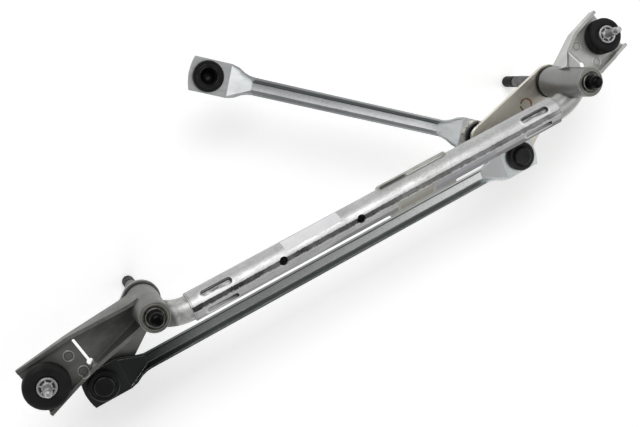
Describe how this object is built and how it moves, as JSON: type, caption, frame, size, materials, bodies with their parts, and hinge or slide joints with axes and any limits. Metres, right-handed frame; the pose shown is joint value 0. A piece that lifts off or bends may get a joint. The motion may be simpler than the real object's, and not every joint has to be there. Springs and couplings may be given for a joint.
{
  "type": "windshield wiper linkage",
  "caption": "Wiper linkage: a steel frame tube with cast pivot housings, cranks on spindles, a link rod between them and a motor rod with an open ball socket.",
  "frame": {"origin": "the middle of the seat of the left locating pin, where the linkage hangs in the car body", "axes": "+X from the left spindle to the right one along the frame tube, +Z along the spindles on the side the locating pins stand out, +Y across the tube towards the motor rod's free end"},
  "size_m": [0.6146, 0.2207, 0.159],
  "materials": {
    "galvanised_tube": "galvanised, soft metallic sheen",
    "saddle_steel": "galvanised sheet with weld heat marks",
    "blank_label": "blank white label film",
    "cast_grey": "dull grey die casting",
    "cast_light": "light grey die casting",
    "sintered_bronze": "oiled sintered bronze",
    "rubber": "black moulded rubber",
    "zinc_casting": "bright zinc die casting",
    "dark_steel": "dark phosphated steel",
    "zinc_plate": "zinc plated",
    "chromated_plate": "warm zinc plate",
    "ball_steel": "polished and greased",
    "washer_steel": "plain spring steel",
    "black_plastic": "black moulded cap",
    "rod_steel": "blue-grey galvanised sheet",
    "socket_plastic": "black moulded, slightly glossy"
  },
  "bodies": {
    "frame": {"frame_tube": "galvanised_tube", "motor_saddle": "saddle_steel", "tube_label": "blank_label", "left_housing": "cast_grey", "right_housing": "cast_light", "left_bushes": "sintered_bronze", "right_bushes": "sintered_bronze", "left_grommet": "rubber", "right_grommet": "rubber", "left_locating_pin": "zinc_casting", "right_locating_pin": "zinc_casting"},
    "left_crank": {"left_spindle": "dark_steel", "left_lever": "zinc_plate", "left_ball_stud": "ball_steel", "left_seal": "rubber", "left_thrust_washer": "washer_steel", "left_retaining_ring": "washer_steel", "left_tip_cap": "black_plastic"},
    "right_crank": {"right_spindle": "dark_steel", "right_lever": "chromated_plate", "right_link_stud": "ball_steel", "right_motor_stud": "ball_steel", "right_seal": "rubber", "right_thrust_washer": "washer_steel", "right_retaining_ring": "washer_steel", "right_tip_cap": "black_plastic"},
    "link_rod_body": {"link_rod": "rod_steel", "link_socket_left": "socket_plastic", "link_socket_right": "socket_plastic"},
    "motor_rod_body": {"motor_rod": "rod_steel", "motor_socket_free": "socket_plastic", "motor_socket_lever": "socket_plastic"}
  },
  "joints": [
    {"name": "right_crank_turn", "type": "hinge", "parent": "frame", "child": "right_crank", "pos_m": [0.517, 0.01982, -0.03056], "axis": [0, 0, 1], "range_deg": [0, 92]},
    {"name": "left_crank_turn", "type": "hinge", "parent": "frame", "child": "left_crank", "pos_m": [0.097, 0.01982, -0.03056], "axis": [0, 0, 1], "range_deg": [-1, 93]},
    {"name": "link_rod_pivot", "type": "hinge", "parent": "right_crank", "child": "link_rod_body", "pos_m": [0.458, -0.02668, -0.02656], "axis": [0, 0, 1], "range_deg": [-93, 1]},
    {"name": "motor_rod_pivot", "type": "hinge", "parent": "right_crank", "child": "motor_rod_body", "pos_m": [0.4355, 0.00282, -0.04566], "axis": [0, 0, 1], "range_deg": [-35, 35]}
  ],
  "couplings": [
    {"joint": "left_crank_turn", "follows": "right_crank_turn", "ratio": 1},
    {"joint": "link_rod_pivot", "follows": "right_crank_turn", "ratio": -1}
  ]
}
